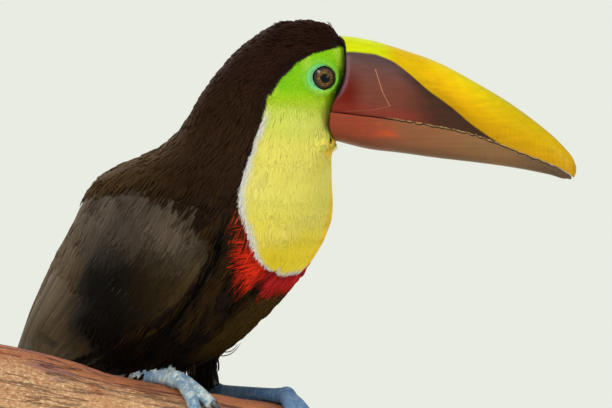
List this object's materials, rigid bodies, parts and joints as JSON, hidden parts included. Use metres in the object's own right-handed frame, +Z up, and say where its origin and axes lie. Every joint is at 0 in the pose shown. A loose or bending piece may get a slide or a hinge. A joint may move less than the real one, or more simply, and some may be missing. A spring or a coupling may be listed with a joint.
{
  "type": "yellow-throated toucan on a perch",
  "caption": "Life-size still model of a yellow-throated toucan gripping a cut length of branch, head turned, held by a plain round display stand.",
  "frame": {"origin": "centre of the stand base's underside", "axes": "+Z up; the trunk faces -Y and the bird's left side is +X; the head and bill are turned 24 degrees to the bird's left"},
  "size_m": [0.2404, 0.3916, 0.4502],
  "materials": {
    "plumage": "soft brownish black feathers with a yellow bib, red breast band and vent, white rump and green bare face",
    "bill_horn": "semi-gloss horn, yellow above and chestnut below",
    "eye": "wet, glossy dark brown",
    "foot_skin": "dull blue scaled skin",
    "claw": "semi-gloss dark horn",
    "bark": "rough weathered reddish-brown wood",
    "stand_paint": "satin dark grey paint on a turned wooden disc",
    "stand_steel": "brushed steel rod"
  },
  "bodies": {
    "root": {"head": "plumage", "neck": "plumage", "trunk": "plumage", "tail": "plumage", "wing_left": "plumage", "wing_right": "plumage", "thigh_left": "plumage", "thigh_right": "plumage", "bill_upper": "bill_horn", "bill_lower": "bill_horn", "eye_left": "eye", "eye_right": "eye", "tarsus_left": "foot_skin", "tarsus_right": "foot_skin", "toe_left_inner": "foot_skin", "toe_left_outer": "foot_skin", "toe_left_back_inner": "foot_skin", "toe_left_back_outer": "foot_skin", "toe_right_inner": "foot_skin", "toe_right_outer": "foot_skin", "toe_right_back_inner": "foot_skin", "toe_right_back_outer": "foot_skin", "claw_left_inner": "claw", "claw_left_outer": "claw", "claw_left_back_inner": "claw", "claw_left_back_outer": "claw", "claw_right_inner": "claw", "claw_right_outer": "claw", "claw_right_back_inner": "claw", "claw_right_back_outer": "claw", "perch": "bark", "stand_base": "stand_paint", "stand_rod_1": "stand_steel", "stand_rod_2": "stand_steel"}
  },
  "joints": []
}
